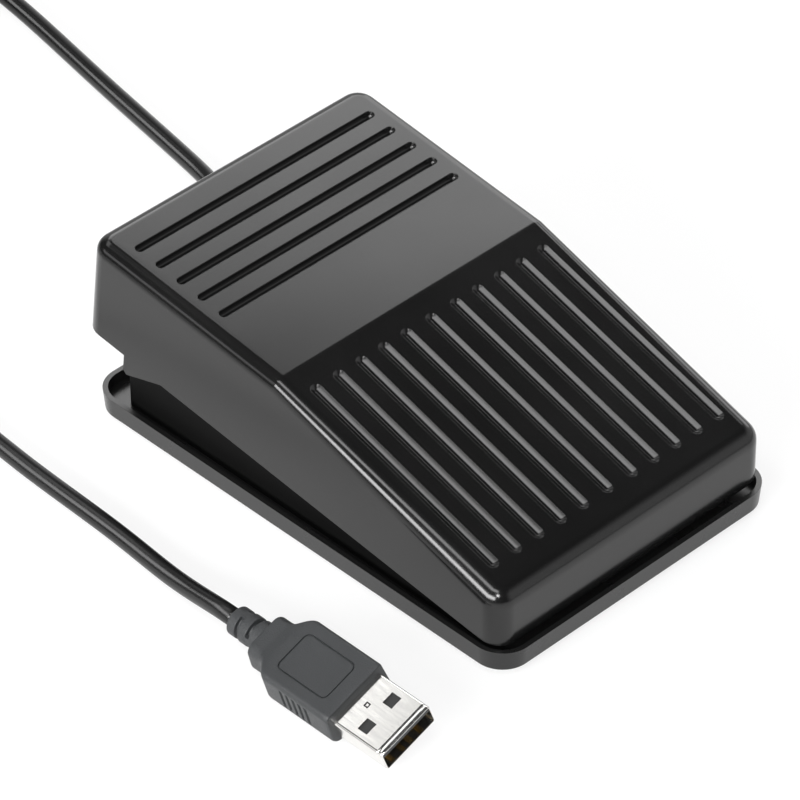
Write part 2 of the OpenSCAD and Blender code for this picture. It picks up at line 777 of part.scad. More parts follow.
module switch_plunger() {
    color([0.75, 0.2, 0.15])
        translate([-plunger_w / 2, plunger_y - plunger_l / 2, plunger_top - plunger_len + 0.4])
            cube([plunger_w, plunger_l, plunger_len - 0.4]);
}

// Small outline package with its gull-wing legs
module controller_chip() {
    size = [4, 9.9, 1.4];
    pitch = 1.27;
    color([0.07, 0.07, 0.08])
        translate([-board_w / 4 - 1.5, board_y + 6, board_top]) {
            translate([0, 0, 0.2 + size.z / 2])
                cube(size, center = true);
            for (s = [-1, 1], i = [-3.5:1:3.5])
                translate([s * size.x / 2, i * pitch, 0]) {
                    translate([s * 0.35, 0, 0.55])
                        cube([0.7, 0.4, 0.2], center = true);
                    translate([s * 0.6, 0, 0.325])
                        cube([0.2, 0.4, 0.65], center = true);
                    translate([s * 0.85, 0, 0.1])
                        cube([0.7, 0.4, 0.2], center = true);
                }
        }
}

module crystal() {
    color([0.8, 0.8, 0.78])
        translate([-board_w / 4 - 1.5, board_y - 8, board_top]) {
            linear_extrude(0.6)
                rounded_rect(4.7, 11.2, 2.3);
            linear_extrude(3.5)
                rounded_rect(3.9, 10.2, 1.9);
        }
}

module capacitors() {
    color([0.2, 0.22, 0.3])
        for (y = [-2, 5])
            translate([board_w / 4 + 1.5, board_y + y, board_top])
                rotate_extrude($fn = fine)
                    polygon([[0, 0], [2, 0], [2, 0.9], [1.8, 1.1], [2, 1.3], [2, 5], [1.7, 5.3], [0, 5.3]]);
}

module resistors() {
    color([0.1, 0.1, 0.1])
        for (i = [0:4])
            translate([board_w / 4 - 1 + 2.4 * (i % 3), board_y - board_len / 2 + 10 - 4.2 * floor(i / 3), board_top + 0.3])
                cube([1.25, 2, 0.6], center = true);
}

module wire_header() {
    color([0.93, 0.92, 0.88])
        translate([header_x, header_y, board_top + header_size.z / 2])
            difference() {
                cube(header_size, center = true);
                for (i = [-1.5:1:1.5])
                    translate([i * wire_pitch, -header_size.y / 2, header_size.z * 0.25])
                        cube([1.2, 1.6, 1.4], center = true);
            }
}

// Four wires side by side from the header to the cord's cut end, each bending a little after the next
module lead_wires() {
    from_y = header_y + header_size.y / 2;
    from_z = board_top + header_size.z / 2;
    lag = 1.2;
    tints = [[0.75, 0.12, 0.1], [0.9, 0.9, 0.88], [0.15, 0.5, 0.2], [0.1, 0.1, 0.1]];
    for (i = [0:3]) {
        from_x = header_x + (i - 1.5) * wire_pitch;
        to_x = outlet_x + (i - 1.5) * (wire_d + slip);
        color(tints[i])
            tube_along(smooth_route([[from_x, from_y, from_z], [from_x, from_y + lag * (4 - i), from_z],
                [to_x, tail_front - lag * (1 + i), outlet_z], [to_x, tail_front, outlet_z]], 3), wire_d / 2, 8);
    }
}

// Strain relief: two flanges grip the box wall, then a ringed sleeve tapers off round the cord
module cable_gland() {
    inner = -box_wall - seat_gap;
    tip = gland_bore + 0.7;
    ring = (gland_len - 3) / 6;
    color([0.07, 0.07, 0.07])
        translate([outlet_x, box_rear_y, outlet_z])
            rotate([-90, 0, 0])
                difference() {
                    rotate_extrude($fn = fine)
                        polygon(concat(
                            [[0, inner - 1], [gland_flange, inner - 1], [gland_flange, inner], [gland_neck, inner],
                                [gland_neck, seat_gap], [gland_flange, seat_gap], [gland_flange, 1.2],
                                [gland_body, 1.2]],
                            [for (i = [0:4]) each [[gland_body - 0.08 * i, 2 + i * ring],
                                [tip - 0.3, 2 + i * ring], [tip - 0.3, 2 + (i + 0.4) * ring],
                                [gland_body - 0.08 * i, 2 + (i + 0.4) * ring]]],
                            [[tip, gland_len], [0, gland_len]]));
                    translate([0, 0, -box_wall - 3])
                        cylinder(r = gland_bore, h = gland_len + box_wall + 5, $fn = fine);
                }
}

module cable_clamp() {
    span = 2 * (clamp_post_x + clamp_post_r);
    color([0.16, 0.16, 0.17])
        difference() {
            translate([outlet_x, clamp_y, clamp_z])
                linear_extrude(clamp_t)
                    rounded_rect(span, clamp_w, 1);
            for (s = [-1, 1])
                translate([outlet_x + s * clamp_post_x, clamp_y, clamp_z - over])
                    cylinder(d = screw_d + slip, h = clamp_t + 2 * over, $fn = fine);
        }
}

module clamp_screws() {
    color([0.72, 0.73, 0.75])
        for (s = [-1, 1])
            translate([outlet_x + s * clamp_post_x, clamp_y, clamp_z + clamp_t])
                pan_screw(clamp_t + clamp_z - floor_z - 0.6);
}

module cable_tail() {
    color([0.1, 0.1, 0.1])
        translate([outlet_x, tail_front, outlet_z])
            rod_y(cord_r, gland_end - tail_front);
}

module cord_rear() {
    color([0.12, 0.12, 0.12])
        tube_along(smooth_route(rear_route, 2.5 * cord_d), cord_r, 8);
}

module cord_coil() {
    color([0.12, 0.12, 0.12])
        tube_along(coil_points, cord_r, 6);
}

// Band round the coil's bundle of turns
module coil_tie() {
    radial = coil_r - coil_in + cord_d + 2 * slip;
    tall = (coil_layers - 1) * coil_pitch + cord_d + 2 * slip;
    color([0.05, 0.05, 0.05])
        translate([coil_mid.x, coil_mid.y - (coil_r + coil_in) / 2, tie_t + tall / 2])
            rotate([90, 0, 90])
                linear_extrude(4, center = true)
                    difference() {
                        rounded_rect(radial + 2 * tie_t, tall + 2 * tie_t, 3 * tie_t);
                        rounded_rect(radial, tall, 2 * tie_t);
                    }
}

module cord_front() {
    color([0.12, 0.12, 0.12])
        tube_along(smooth_route(front_route, 2.5 * cord_d), cord_r, 8);
}

// Puts children in the plug's frame: its grip ends at y = 0 and its shell points along -Y
module on_plug() {
    translate(plug_at)
        rotate([0, -plug_roll, 0])
            children();
}

neck_w = grip_w - 4.8;
neck_h = grip_h - 1.2;
module grip_slab(y, w, h, l) {
    translate([0, y, 0])
        rotate([-90, 0, 0])
            linear_extrude(l)
                rounded_rect(w, h, grip_r);
}

module plug_grip() {
    rib_count = 5;
    rib_pitch = 1.5;
    color([0.34, 0.35, 0.36])
        on_plug()
            difference() {
                union() {
                    grip_slab(0, grip_w, grip_h, grip_len);
                    hull() {
                        grip_slab(grip_len - 2, grip_w - 0.2, grip_h - 0.2, 2.2);
                        grip_slab(grip_len + shoulder_len - 0.4, neck_w + 0.2, neck_h + 0.2, 0.4);
                    }
                    grip_slab(grip_len + shoulder_len - 0.6, neck_w, neck_h, neck_len - shoulder_len + 0.6);
                }
                // Shallow panel on each broad face
                for (s = [-1, 1])
                    translate([0, grip_len / 2 + 0.6, s * grip_h / 2])
                        linear_extrude(0.6, center = true)
                            rounded_rect(grip_w - 5, grip_len - 4, 1.4);
                // Finger ribs on each narrow side
                for (s = [-1, 1], i = [0:rib_count - 1])
                    translate([s * grip_w / 2, grip_len / 2 + (i - (rib_count - 1) / 2) * rib_pitch, 0])
                        cube([0.8, rib_pitch / 2, grip_h - 2 * grip_r - 0.6], center = true);
            }
}

// Sleeve between the grip and the cord: a collar and two rings with slots between them
module plug_relief() {
    rings = 3;
    slot = 0.9;
    ring = (relief_len - (rings - 1) * slot) / rings;
    thin = cord_r + 0.4;
    thick = cord_r + 1.15;
    color([0.34, 0.35, 0.36])
        on_plug()
            translate([0, grip_len + neck_len, 0])
                rotate([-90, 0, 0])
                    rotate_extrude($fn = fine)
                        polygon(concat([[0, 0]],
                            [for (i = [0:rings - 1]) each [[i == 0 ? thick : thin, i * (ring + slot)],
                                [thick - 0.1 * i, i * (ring + slot)], [thick - 0.1 * i, i * (ring + slot) + ring],
                                [i == rings - 1 ? 0 : thin, i * (ring + slot) + ring]]]));
}

// Folded sheet shell with its two pairs of latch windows
module plug_shell() {
    window = 2.5;
    window_x = 3.1;
    color([0.83, 0.84, 0.86])
        on_plug()
            difference() {
                rotate([90, 0, 0])
                    linear_extrude(shell_len)
                        difference() {
                            rounded_rect(shell_w, shell_h, 0.6);
                            rounded_rect(shell_w - 2 * shell_t, shell_h - 2 * shell_t, 0.6 - shell_t);
                        }
                for (s = [-1, 1])
                    translate([s * window_x, -shell_len * 0.48, 0])
                        cube([window, window - 0.3, 2 * shell_h], center = true);
            }
}

tongue_h = 1.9;
tongue_z = shell_h / 2 - shell_t - seat_gap - tongue_h / 2;
module plug_tongue() {
    color([0.93, 0.93, 0.92])
        on_plug() {
            translate([0, -shell_len / 2 + 0.4, tongue_z])
                cube([shell_w - 2 * shell_t - 2 * seat_gap, shell_len - 0.8, tongue_h], center = true);
            translate([0, -0.75, -tongue_h / 2])
                cube([shell_w - 2 * shell_t - 2 * seat_gap, 1.5, shell_h - tongue_h - 2 * shell_t - 2 * seat_gap],
                    center = true);
        }
}

module plug_contacts() {
    thick = 0.2;
    color([0.85, 0.7, 0.3])
        on_plug()
            for (x = [-3.5, -1, 1, 3.5])
                translate([x, -shell_len / 2 - 0.4, tongue_z - tongue_h / 2 - thick / 2])
                    cube([1, shell_len - 3.6, thick], center = true);
}

base_tray();
rubber_feet();
hinge_pin();
spring_left();
spring_right();
circuit_board();
board_screws();
switch_case();
switch_terminals();
controller_chip();
crystal();
capacitors();
resistors();
wire_header();
lead_wires();
cable_gland();
cable_clamp();
clamp_screws();
cable_tail();
cord_rear();
cord_coil();
coil_tie();
cord_front();
plug_relief();
plug_grip();
plug_shell();
plug_tongue();
plug_contacts();
pedal_cover();
switch_lever();
switch_plunger();
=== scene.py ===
import math

import bmesh
import bpy
from mathutils import Matrix, Quaternion, Vector


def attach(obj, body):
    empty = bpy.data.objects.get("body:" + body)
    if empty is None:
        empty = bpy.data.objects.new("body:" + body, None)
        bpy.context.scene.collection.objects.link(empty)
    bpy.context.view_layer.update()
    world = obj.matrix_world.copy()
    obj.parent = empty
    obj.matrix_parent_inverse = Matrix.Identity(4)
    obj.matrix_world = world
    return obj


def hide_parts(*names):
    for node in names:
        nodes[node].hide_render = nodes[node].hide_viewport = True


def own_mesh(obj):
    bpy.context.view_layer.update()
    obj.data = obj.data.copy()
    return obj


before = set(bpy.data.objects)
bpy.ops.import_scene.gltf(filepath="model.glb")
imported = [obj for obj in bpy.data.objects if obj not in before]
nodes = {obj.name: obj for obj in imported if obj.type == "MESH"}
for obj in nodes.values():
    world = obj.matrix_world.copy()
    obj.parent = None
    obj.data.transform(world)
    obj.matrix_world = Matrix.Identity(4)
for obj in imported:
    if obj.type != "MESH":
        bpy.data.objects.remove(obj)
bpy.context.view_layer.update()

scene = bpy.context.scene
mm = 0.001
weld = 1e-6  # points nearer than this are one
print("frame loaded:", len(nodes), "nodes")


# camera at the photograph's viewing angle
cameraSet = {
    "azimuth": -44.555,
    "elevation": 39.346,
    "distance": 0.96347,
    "lens": 247.26,
    "target": (-0.01096, -0.00467, 0.0212),
    "sensor": 36,
    "clip": (0.05, 20),
}


def viewDirection(azimuth, elevation):
    a, e = math.radians(azimuth), math.radians(elevation)
    return Vector((math.sin(a) * math.cos(e), -math.cos(a) * math.cos(e), math.sin(e)))


def makeCamera(s):
    data = bpy.data.cameras.new("viewCamera")
    data.lens = s["lens"]
    data.sensor_width = s["sensor"]
    data.clip_start, data.clip_end = s["clip"]
    cam = bpy.data.objects.new("viewCamera", data)
    scene.collection.objects.link(cam)
    back = viewDirection(s["azimuth"], s["elevation"])
    cam.location = Vector(s["target"]) + back * s["distance"]
    cam.rotation_mode = "QUATERNION"
    cam.rotation_quaternion = (-back).to_track_quat("-Z", "Y")
    scene.camera = cam


makeCamera(cameraSet)
print("camera placed")


# routes: the same points as the solids', in metres
def smoothRoute(points, step):
    pts = [Vector(p) for p in points]
    pts = [2 * pts[0] - pts[1]] + pts + [2 * pts[-1] - pts[-2]]
    line = []
    for i in range(1, len(pts) - 2):
        a, b, c, d = pts[i - 1:i + 3]
        count = max(2, round((c - b).length / step))
        for k in range(count):
            t = k / count
            line.append(0.5 * (2 * b + (c - a) * t + (2 * a - 5 * b + 4 * c - d) * t * t
                               + (3 * b - a - 3 * c + d) * t * t * t))
    return line + [pts[-2]]


def lineLength(line):
    return sum((b - a).length for a, b in zip(line, line[1:]))


def newObject(name, mesh, body):
    obj = bpy.data.objects.new(name, mesh)
    scene.collection.objects.link(obj)
    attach(obj, body)
    return obj


def tubeMesh(name, line, radius, sides):
    curve = bpy.data.curves.new(name, "CURVE")
    curve.dimensions = "3D"
    curve.bevel_depth = radius
    curve.bevel_resolution = sides // 4 - 1
    curve.use_fill_caps = True
    spline = curve.splines.new("POLY")
    spline.points.add(len(line) - 1)
    for point, place in zip(spline.points, line):
        point.co = (*place, 1)
    holder = bpy.data.objects.new(name + "Curve", curve)
    scene.collection.objects.link(holder)
    graph = bpy.context.evaluated_depsgraph_get()
    mesh = bpy.data.meshes.new_from_object(holder.evaluated_get(graph))
    mesh.name = name
    bpy.data.objects.remove(holder)
    bpy.data.curves.remove(curve)
    bm = bmesh.new()
    bm.from_mesh(mesh)
    bmesh.ops.remove_doubles(bm, verts=bm.verts, dist=weld)
    bmesh.ops.recalc_face_normals(bm, faces=bm.faces)
    for face in bm.faces:
        face.smooth = len(face.verts) == 4
    bm.to_mesh(mesh)
    bm.free()
    return mesh


leadSet = {
    "diameter": 0.0036,
    "outlet": (0.020, 0.05913, 0.0068),
    "rear": [(0.0229, 0.077, 0.003), (0.0266, 0.088, 0.002), (0.0321, 0.120, 0.002),
             (0.0371, 0.148, 0.002), (0.0394, 0.166, 0.0022)],
    "front": [(-0.015, 0.158, 0.008), (-0.023, 0.140, 0.0026), (-0.035, 0.116, 0.002),
              (-0.046, 0.090, 0.002), (-0.0526, 0.068, 0.002), (-0.0548, 0.048, 0.002),
              (-0.0557, 0.022, 0.002), (-0.0574, 0.004, 0.0028)],
    "plugEnd": (-0.0592, -0.0140, 0.0055981),
    "coilRun": 0.007,
    "coilMiddle": (0.014, 0.186),
    "coilRadius": 0.026,
    "coilPitch": 0.0041,
    "coilLow": 0.003,
    "coilTurns": 11.5,
    "coilLayers": 4,
    "climbTurns": 0.5,
    "ringsPerTurn": 60,
    "step": 0.0015,
    "sides": 16,
}


# flat spirals in layers, inwards and outwards by turns, with a short climb from layer to layer
def coilLine(s):
    layerTurns = s["coilTurns"] / s["coilLayers"]
    halfClimb = s["climbTurns"] / 2
    x, y = s["coilMiddle"]
    line = []
    for i in range(int(s["coilTurns"] * s["ringsPerTurn"]) + 1):
        t = i / s["ringsPerTurn"]
        layer = min(int(t / layerTurns), s["coilLayers"] - 1)
        along = t - layer * layerTurns
        phase = along if layer % 2 == 0 else layerTurns - along
        seam = min(max(round(t / layerTurns), 1), s["coilLayers"] - 1)
        past = min(max(t - seam * layerTurns, -halfClimb), halfClimb)
        z = s["coilLow"] + s["coilPitch"] * (seam - 0.5 + past / s["climbTurns"])
        r = s["coilRadius"] - s["coilPitch"] * phase
        a = 2 * math.pi * t
        line.append(Vector((x + r * math.cos(a), y + r * math.sin(a), z)))
    return line


def makeLead(s):
    ahead = Vector((0, s["diameter"], 0))
    coil = coilLine(s)
    out, plug = Vector(s["outlet"]), Vector(s["plugEnd"])
    start, end = coil[0] - ahead, coil[-1] - ahead
    rear = [out, out + ahead, *s["rear"], start - Vector((0, s["coilRun"], 0)), start]
    front = [end, end - ahead, *s["front"], plug + ahead, plug]
    line = smoothRoute(rear, s["step"]) + coil + smoothRoute(front, s["step"])
    lead = newObject("lead", tubeMesh("lead", line, s["diameter"] / 2, s["sides"]), "base")
    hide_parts("cord_rear", "cord_coil", "cord_front")
    # the cover mirrors no cord in the photograph
    lead.visible_glossy = False
    print("lead length", round(lineLength(line), 3))
    return lead, line


lead, leadLine = makeLead(leadSet)


# shared shader groups
def makeGroup(name, inputs, outputs):
    group = bpy.data.node_groups.new(name, "ShaderNodeTree")
    for label, kind, value in inputs:
        socket = group.interface.new_socket(label, in_out="INPUT", socket_type=kind)
        socket.default_value = value
    for label, kind in outputs:
        group.interface.new_socket(label, in_out="OUTPUT", socket_type=kind)
    into = group.nodes.new("NodeGroupInput")
    out = group.nodes.new("NodeGroupOutput")
    return group, into, out


def noiseNode(tree, place, detail, rough):
    noise = tree.nodes.new("ShaderNodeTexNoise")
    noise.inputs["Detail"].default_value = detail
    noise.inputs["Roughness"].default_value = rough
    tree.links.new(place, noise.inputs["Vector"])
    return noise


# a socket takes a number, or a link from another node
def feed(tree, socket, given):
    if isinstance(given, (int, float)):
        socket.default_value = given
    else:
        tree.links.new(given, socket)


def mathNode(tree, kind, a, b):
    node = tree.nodes.new("ShaderNodeMath")
    node.operation = kind
    feed(tree, node.inputs[0], a)
    feed(tree, node.inputs[1], b)
    return node.outputs[0]


def spanNode(tree, value, low, high, toLow, toHigh):
    node = tree.nodes.new("ShaderNodeMapRange")
    labels = ("Value", "From Min", "From Max", "To Min", "To Max")
    for label, given in zip(labels, (value, low, high, toLow, toHigh)):
        feed(tree, node.inputs[label], given)
    return node.outputs["Result"]


# grain, drift and lines are each a noise's detail and roughness
skinSet = {
    "inputs": [("Rough Low", "NodeSocketFloat", 0.2), ("Rough High", "NodeSocketFloat", 0.3),
               ("Tone", "NodeSocketColor", (0.02, 0.02, 0.02, 1)),
               ("Tone Drift", "NodeSocketColor", (0.03, 0.03, 0.03, 1))],
    "outputs": [("Height", "NodeSocketFloat"), ("Roughness", "NodeSocketFloat"),
                ("Color", "NodeSocketColor")],
    "grain": (3, 0.6),
    "drift": (4, 0.55),
    "driftScale": 38,
    "lines": (4, 0.6),
    "lineScale": 8,
    "span": (0.3, 0.7),
}


# the height goes to the bump; the roughness and the colour wander between their ends with the drift
def linkSkin(group, into, out, height, drift, span):
    rough = spanNode(group, drift, *span, into.outputs["Rough Low"], into.outputs["Rough High"])
    mix = group.nodes.new("ShaderNodeMix")
    mix.data_type = "RGBA"
    group.links.new(drift, mix.inputs["Factor"])
    group.links.new(into.outputs["Tone"], mix.inputs["A"])
    group.links.new(into.outputs["Tone Drift"], mix.inputs["B"])
    group.links.new(height, out.inputs["Height"])
    group.links.new(rough, out.inputs["Roughness"])
    group.links.new(mix.outputs["Result"], out.inputs["Color"])


# fine moulded texture, with a slow drift of gloss and colour
def makeMouldSkin(s):
    scale = [("Grain Scale", "NodeSocketFloat", 2200.0)]
    group, into, out = makeGroup("mouldSkin", scale + s["inputs"], s["outputs"])
    place = group.nodes.new("ShaderNodeTexCoord").outputs["Object"]
    grain = noiseNode(group, place, *s["grain"])
    group.links.new(into.outputs["Grain Scale"], grain.inputs["Scale"])
    drift = noiseNode(group, place, *s["drift"])
    drift.inputs["Scale"].default_value = s["driftScale"]
    linkSkin(group, into, out, grain.outputs["Fac"], drift.outputs["Fac"], s["span"])
    return group


# long fine lines along one axis, as drawn or rolled metal has
def makeDrawnMetal(s):
    stretch = [("Stretch", "NodeSocketVector", (300.0, 30.0, 300.0))]
    group, into, out = makeGroup("drawnMetal", stretch + s["inputs"], s["outputs"])
    scaled = group.nodes.new("ShaderNodeVectorMath")
    scaled.operation = "MULTIPLY"
    group.links.new(group.nodes.new("ShaderNodeTexCoord").outputs["Object"], scaled.inputs[0])
    group.links.new(into.outputs["Stretch"], scaled.inputs[1])
    lines = noiseNode(group, scaled.outputs["Vector"], *s["lines"])
    lines.inputs["Scale"].default_value = s["lineScale"]
    linkSkin(group, into, out, lines.outputs["Fac"], lines.outputs["Fac"], s["span"])
    return group


mouldSkin = makeMouldSkin(skinSet)
drawnMetal = makeDrawnMetal(skinSet)


def grey(value):
    return (value, value, value, 1)


def groupedMaterial(name, group, values, bump, plain):
    mat = bpy.data.materials.new(name)
    mat.use_nodes = True
    tree = mat.node_tree
    shader = tree.nodes["Principled BSDF"]
    skin = tree.nodes.new("ShaderNodeGroup")
    skin.node_tree = group
    for label, value in values.items():
        skin.inputs[label].default_value = value
    tree.links.new(skin.outputs["Color"], shader.inputs["Base Color"])
    tree.links.new(skin.outputs["Roughness"], shader.inputs["Roughness"])
    relief = tree.nodes.new("ShaderNodeBump")
    relief.inputs["Strength"].default_value = bump[0]
    relief.inputs["Distance"].default_value = bump[1]
    tree.links.new(skin.outputs["Height"], relief.inputs["Height"])
    tree.links.new(relief.outputs["Normal"], shader.inputs["Normal"])
    for label, value in plain.items():
        shader.inputs[label].default_value = value
    return mat


def toneValues(tone, drift, rough):
    return {"Tone": tone, "Tone Drift": drift, "Rough Low": rough[0], "Rough High": rough[1]}


def plastic(name, tone, drift, rough, grain, bump, plain=None):
    values = {"Grain Scale": grain, **toneValues(tone, drift, rough)}
    return groupedMaterial(name, mouldSkin, values, bump, {"Metallic": 0.0, "IOR": 1.5, **(plain or {})})


def metal(name, tone, drift, rough, stretch, bump):
    values = {"Stretch": stretch, **toneValues(tone, drift, rough)}
    return groupedMaterial(name, drawnMetal, values, bump, {"Metallic": 1.0})


# colour and its drift, roughness from and to, scale of grain or stretch of lines, bump strength and height
finish = {
    "cover": plastic("coverGlossBlack", grey(0.0045), grey(0.0065), (0.15, 0.2), 900, (0.02, 0.0001)),
    "tray": plastic("traySatinBlack", grey(0.006), grey(0.009), (0.24, 0.32), 1600, (0.05, 0.0001)),
    # the inner box wall: a matt finish, made darker and less reflective as painted shade under the cover
    "trayInside": plastic("trayInsideMattAndShade", grey(0.003), grey(0.0045), (0.6, 0.7), 2600, (0.2, 0.0001),
                          {"Specular IOR Level": 0.08}),
    "cord": plastic("cordJacketBlack", grey(0.004), grey(0.007), (0.2, 0.27), 1800, (0.08, 0.0001),
                    {"Specular IOR Level": 0.4}),
    "grip": plastic("gripMattGrey", (0.0205, 0.022, 0.0235, 1), (0.0325, 0.0345, 0.0365, 1), (0.42, 0.54),
                    3600, (0.8, 0.00012)),
    "rubber": plastic("softRubberBlack", grey(0.012), grey(0.022), (0.6, 0.75), 3000, (0.3, 0.0001)),
    "tie": plastic("tieBlackNylon", grey(0.012), grey(0.02), (0.35, 0.5), 2600, (0.15, 0.0001)),
    "case": plastic("switchCaseBlack", grey(0.014), grey(0.022), (0.4, 0.5), 2600, (0.15, 0.0001)),
    "chip": plastic("chipEpoxy", grey(0.02), grey(0.03), (0.5, 0.62), 6000, (0.2, 0.00005)),
    "board": plastic("boardGreenMask", (0.012, 0.09, 0.035, 1), (0.02, 0.13, 0.05, 1), (0.25, 0.4), 900,
                     (0.2, 0.0001)),
    "nylon": plastic("headerNatural", (0.72, 0.69, 0.6, 1), (0.8, 0.78, 0.7, 1), (0.4, 0.5), 2400,
                     (0.1, 0.0001)),
    "tongue": plastic("tongueBlack", grey(0.016), grey(0.024), (0.35, 0.45), 2400, (0.1, 0.0001)),
    "sleeve": plastic("capacitorSleeve", (0.01, 0.014, 0.05, 1), (0.02, 0.026, 0.08, 1), (0.3, 0.4), 2000,
                      (0.1, 0.0001)),
    "plunger": plastic("plungerRed", (0.3, 0.015, 0.012, 1), (0.38, 0.02, 0.015, 1), (0.35, 0.45), 2400,
                       (0.1, 0.0001)),
    "shell": metal("shellNickel", (0.80, 0.79, 0.76, 1), (0.86, 0.85, 0.83, 1), (0.12, 0.22),
                   (260, 26, 260), (0.03, 0.00005)),
    # painted shade for the dimple's pressed groove on the shell
    "shellGap": plastic("shellGapPaintedShade", grey(0.012), grey(0.018), (0.6, 0.7), 2400, (0.1, 0.0001),
                        {"Specular IOR Level": 0.1}),
    "steel": metal("pinSteel", grey(0.5), grey(0.62), (0.22, 0.36), (20, 240, 240), (0.06, 0.00005)),
    "spring": metal("springWire", (0.42, 0.42, 0.43, 1), (0.55, 0.55, 0.56, 1), (0.25, 0.4),
                    (200, 200, 200), (0.06, 0.00005)),
    "zinc": metal("screwZinc", (0.52, 0.52, 0.5, 1), (0.66, 0.65, 0.62, 1), (0.25, 0.42),
                  (220, 220, 60), (0.08, 0.00005)),
    "brass": metal("terminalBrass", (0.6, 0.46, 0.2, 1), (0.7, 0.55, 0.27, 1), (0.25, 0.4),
                   (200, 200, 60), (0.06, 0.00005)),
    "gold": metal("contactGold", (0.78, 0.55, 0.2, 1), (0.86, 0.64, 0.28, 1), (0.15, 0.28),
                  (240, 30, 240), (0.05, 0.00005)),
    "can": metal("crystalCan", (0.6, 0.6, 0.58, 1), (0.7, 0.7, 0.68, 1), (0.25, 0.4),
                 (160, 40, 160), (0.06, 0.00005)),
}
wireTones = {
    "wireRed": ((0.42, 0.015, 0.012, 1), (0.5, 0.03, 0.02, 1)),
    "wireWhite": ((0.7, 0.7, 0.68, 1), (0.78, 0.78, 0.76, 1)),
    "wireGreen": ((0.02, 0.2, 0.04, 1), (0.03, 0.26, 0.06, 1)),
    "wireBlack": (grey(0.012), grey(0.02)),
}
for wireName, (wireTone, wireDrift) in wireTones.items():
    finish[wireName] = plastic(wireName, wireTone, wireDrift, (0.35, 0.5), 2400, (0.1, 0.0001))


# a piece with two materials is not cleared, since that resets which faces have which
def dress(obj, *names):
    if len(names) == 1:
        obj.data.materials.clear()
    for name in names:
        obj.data.materials.append(finish[name])


dress(lead, "cord")
nodeFinish = {
    "rubber_feet": "rubber", "hinge_pin": "steel", "circuit_board": "board", "board_screws": "zinc",
    "switch_case": "case", "switch_terminals": "brass", "controller_chip": "chip", "crystal": "can",
    "capacitors": "sleeve", "resistors": "chip", "wire_header": "nylon", "cable_gland": "rubber",
    "cable_clamp": "case", "clamp_screws": "zinc", "cable_tail": "cord", "coil_tie": "tie",
    "plug_tongue": "tongue", "plug_contacts": "gold", "switch_lever": "steel", "switch_plunger": "plunger",
}
for nodeName, finishName in nodeFinish.items():
    dress(nodes[nodeName], finishName)
print("materials set")


pieceSet = {"flatDegrees": 0.4, "normalWeight": 80}


# a merged copy of a node's mesh, with its flats joined up, ready for edge rounding
def mergedCopy(nodeName):
    bm = bmesh.new()
    bm.from_mesh(nodes[nodeName].data)
    bmesh.ops.remove_doubles(bm, verts=bm.verts, dist=2 * weld)
    bmesh.ops.dissolve_degenerate(bm, edges=bm.edges, dist=weld)
    flat = math.radians(pieceSet["flatDegrees"])
    bmesh.ops.dissolve_limit(bm, angle_limit=flat, verts=bm.verts, edges=bm.edges)
    return bm


def sharpEdges(bm, degrees):
    return [e for e in bm.edges if e.is_manifold and e.calc_face_angle(0) > math.radians(degrees)]


def roundEdges(bm, edges, offset, segments):
    bmesh.ops.bevel(bm, geom=edges, offset=offset, offset_type="OFFSET", segments=segments, profile=0.5,
                    affect="EDGES", clamp_overlap=True, material=-1)


def finishPiece(name, bm, body, sharpDegrees):
    for face in bm.faces:
        face.smooth = True
    sharp = set(sharpEdges(bm, sharpDegrees))
    for edge in bm.edges:
        edge.smooth = edge not in sharp
    mesh = bpy.data.meshes.new(name)
    bm.to_mesh(mesh)
    bm.free()
    obj = newObject(name, mesh, body)
    weighted = obj.modifiers.new("weightedNormals", "WEIGHTED_NORMAL")
    weighted.keep_sharp = True
    weighted.weight = pieceSet["normalWeight"]
    return obj


# groups of edges that hang together
def edgeLoops(edges):
    left = list(edges)
    loops = []
    while left:
        loop = [left.pop()]
        more = loop
        while more:
            ends = {v for e in loop for v in e.verts}
            more = [e for e in left if e.verts[0] in ends or e.verts[1] in ends]
            left = [e for e in left if e not in more]
            loop = loop + more
        loops.append(loop)
    return loops


# a boundary loop carried inwards and down from ring to ring, round the line along its middle
def sinkLoop(bm, edges, along, normal, halfWidth, profile):
    verts = list(dict.fromkeys(v for e in edges for v in e.verts))
    reach = [v.co.dot(along) for v in verts]
    centre = sum((v.co for v in verts), Vector()) / len(verts)
    centre += along * ((max(reach) + min(reach)) / 2 - centre.dot(along))
    half = (max(reach) - min(reach)) / 2 - halfWidth
    spine = {v: centre + along * min(max((v.co - centre).dot(along), -half), half) for v in verts}
    base = {v: v.co.copy() for v in verts}
    origin = {v: v for v in verts}
    rim = edges
    for inset, depth in profile:
        share = 1 - inset / halfWidth
        made = bmesh.ops.extrude_edge_only(bm, edges=rim)["geom"]
        ring = {}
        for vert in made:
            if isinstance(vert, bmesh.types.BMVert):
                ends = [e.other_vert(vert) for e in vert.link_edges]
                first = origin[next(v for v in ends if v in origin)]
                vert.co = spine[first] + (base[first] - spine[first]) * share - normal * depth
                ring[vert] = first
        origin = ring
        rim = [g for g in made if isinstance(g, bmesh.types.BMEdge)]
    bmesh.ops.contextual_create(bm, geom=rim)


